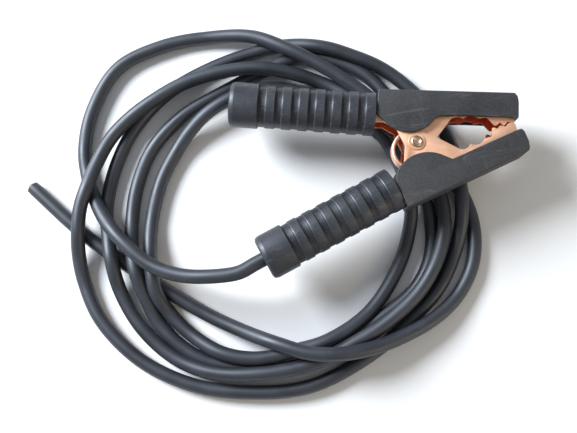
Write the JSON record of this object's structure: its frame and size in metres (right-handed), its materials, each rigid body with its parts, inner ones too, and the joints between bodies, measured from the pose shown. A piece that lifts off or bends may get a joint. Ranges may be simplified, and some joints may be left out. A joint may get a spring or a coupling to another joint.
{
  "type": "welding ground clamp",
  "caption": "Spring-loaded crocodile ground clamp with ribbed grips, toothed jaws and a long loose welding cable that ends bare.",
  "frame": {"origin": "centre of the clamp's box at rest, without the cable: on the middle line between the handles, behind the pivot, in the mid-plane of the clamp", "axes": "+X along the clamp's middle line towards the jaw tips, +Y towards the upper arm, +Z along the pivot's axis, away from the cable that the clamp lies on"},
  "size_m": [0.3724, 0.2945, 0.0536],
  "materials": {
    "copper_plate": "copper-plated pressed steel, satin",
    "spring_wire": "copper-plated spring wire, satin",
    "black_moulding": "fine texture, matt, faint scuffs",
    "grip_rubber": "satin, moulded ribs",
    "steel": "plated, satin",
    "bare_copper": "bare stranded copper, slightly dull",
    "cable_jacket": "smooth flexible sheath, soft sheen"
  },
  "bodies": {
    "lower_body": {"lower_arm": "copper_plate", "lower_jaw_cover": "black_moulding", "lower_grip": "grip_rubber", "pivot_rivet": "steel", "rivet_washer_top": "copper_plate", "rivet_washer_bottom": "copper_plate", "pivot_bush": "steel", "torsion_spring": "spring_wire", "cable_conductor": "bare_copper", "cable_lug": "bare_copper", "lug_bolt": "steel", "lug_flat_washer": "steel", "lug_spring_washer": "steel", "lug_nut": "steel", "cable": "cable_jacket", "conductor_end": "bare_copper"},
    "upper_body": {"upper_arm": "copper_plate", "upper_jaw_cover": "black_moulding", "upper_grip": "grip_rubber"}
  },
  "joints": [
    {"name": "jaw_pivot", "type": "hinge", "parent": "lower_body", "child": "upper_body", "pos_m": [0.0262, 0, 0], "axis": [0, 0, 1], "range_deg": [0, 26], "stiffness_Nm_per_rad": 6, "springref_deg": -20.05, "deforming": ["torsion_spring"]}
  ]
}
